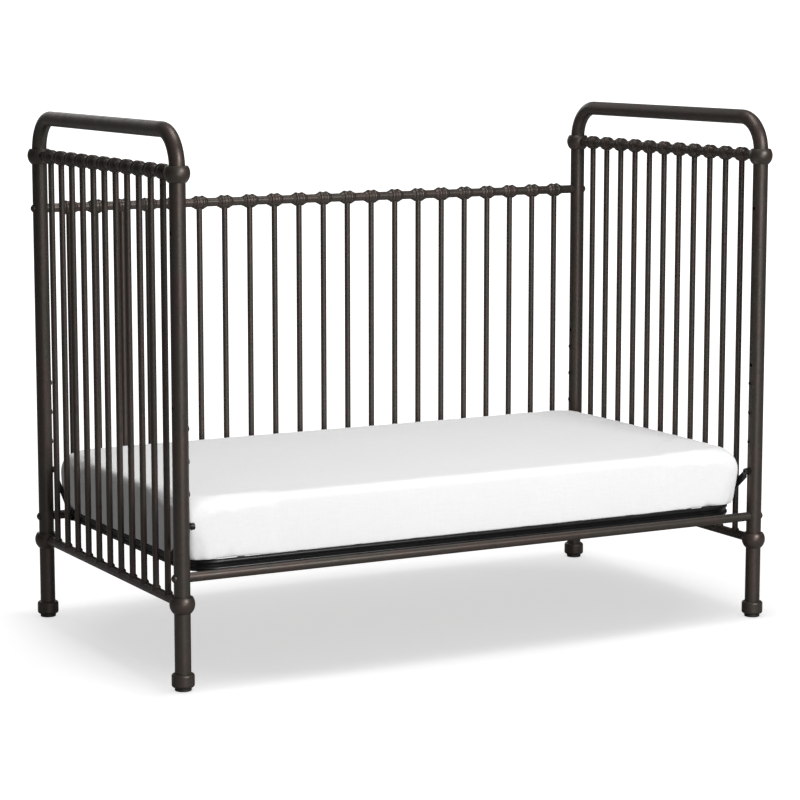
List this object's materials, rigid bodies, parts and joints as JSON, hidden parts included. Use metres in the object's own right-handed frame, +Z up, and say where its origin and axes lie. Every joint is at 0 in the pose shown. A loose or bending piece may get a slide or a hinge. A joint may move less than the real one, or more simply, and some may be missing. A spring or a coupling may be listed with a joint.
{
  "type": "baby crib",
  "caption": "Tubular steel baby crib set up as a day bed: hooped ends, spindle back and ends, cast ball joints, a height-adjustable spring support and a sheeted mattress.",
  "frame": {"origin": "on the floor, under the middle of the crib's outline", "axes": "+X along the crib's length, +Y towards the back panel, +Z up; the open front faces -Y"},
  "size_m": [1.394, 0.776, 1.092],
  "materials": {
    "bronze_paint": "satin",
    "black_steel": "gloss",
    "spring_wire": "satin",
    "zinc_steel": "satin",
    "dark_insert": "satin",
    "glide_plastic": "matte",
    "mattress_ticking": "matte",
    "white_sheet": "matte"
  },
  "bodies": {
    "frame": {"left_front_post": "bronze_paint", "left_back_post": "bronze_paint", "right_front_post": "bronze_paint", "right_back_post": "bronze_paint", "left_front_upper_ball": "bronze_paint", "left_back_upper_ball": "bronze_paint", "right_front_upper_ball": "bronze_paint", "right_back_upper_ball": "bronze_paint", "left_front_lower_ball": "bronze_paint", "left_back_lower_ball": "bronze_paint", "right_front_lower_ball": "bronze_paint", "right_back_lower_ball": "bronze_paint", "left_front_foot_cap": "bronze_paint", "left_back_foot_cap": "bronze_paint", "right_front_foot_cap": "bronze_paint", "right_back_foot_cap": "bronze_paint", "left_front_foot_glide": "glide_plastic", "left_back_foot_glide": "glide_plastic", "right_front_foot_glide": "glide_plastic", "right_back_foot_glide": "glide_plastic", "left_hoop": "bronze_paint", "right_hoop": "bronze_paint", "left_end_top_rail": "bronze_paint", "right_end_top_rail": "bronze_paint", "left_end_bottom_rail": "bronze_paint", "right_end_bottom_rail": "bronze_paint", "left_end_spindles": "bronze_paint", "right_end_spindles": "bronze_paint", "left_end_knuckles": "bronze_paint", "right_end_knuckles": "bronze_paint", "front_rail": "bronze_paint", "back_top_rail": "bronze_paint", "back_bottom_rail": "bronze_paint", "back_spindles": "bronze_paint", "back_knuckles": "bronze_paint", "rail_end_nuts": "zinc_steel", "rail_bolts": "bronze_paint", "saddle_washers": "bronze_paint", "position_inserts": "dark_insert", "hanger_bolts": "black_steel"},
    "support": {"support_frame": "black_steel", "support_long_wires": "spring_wire", "support_cross_wires": "spring_wire", "support_end_springs": "spring_wire", "support_side_springs": "spring_wire", "hanger_rivets": "black_steel", "hanger_spacers": "black_steel", "left_front_hanger": "black_steel", "left_back_hanger": "black_steel", "right_front_hanger": "black_steel", "right_back_hanger": "black_steel"},
    "mattress": {"mattress_core": "mattress_ticking", "fitted_sheet": "white_sheet"}
  },
  "joints": [
    {"name": "support_height", "type": "slide", "parent": "frame", "child": "support", "axis": [0, 0, 1], "range_m": [0, 0.1905]},
    {"name": "mattress_lift", "type": "slide", "parent": "support", "child": "mattress", "axis": [0, 0, 1], "range_m": [0, 0.85]}
  ]
}
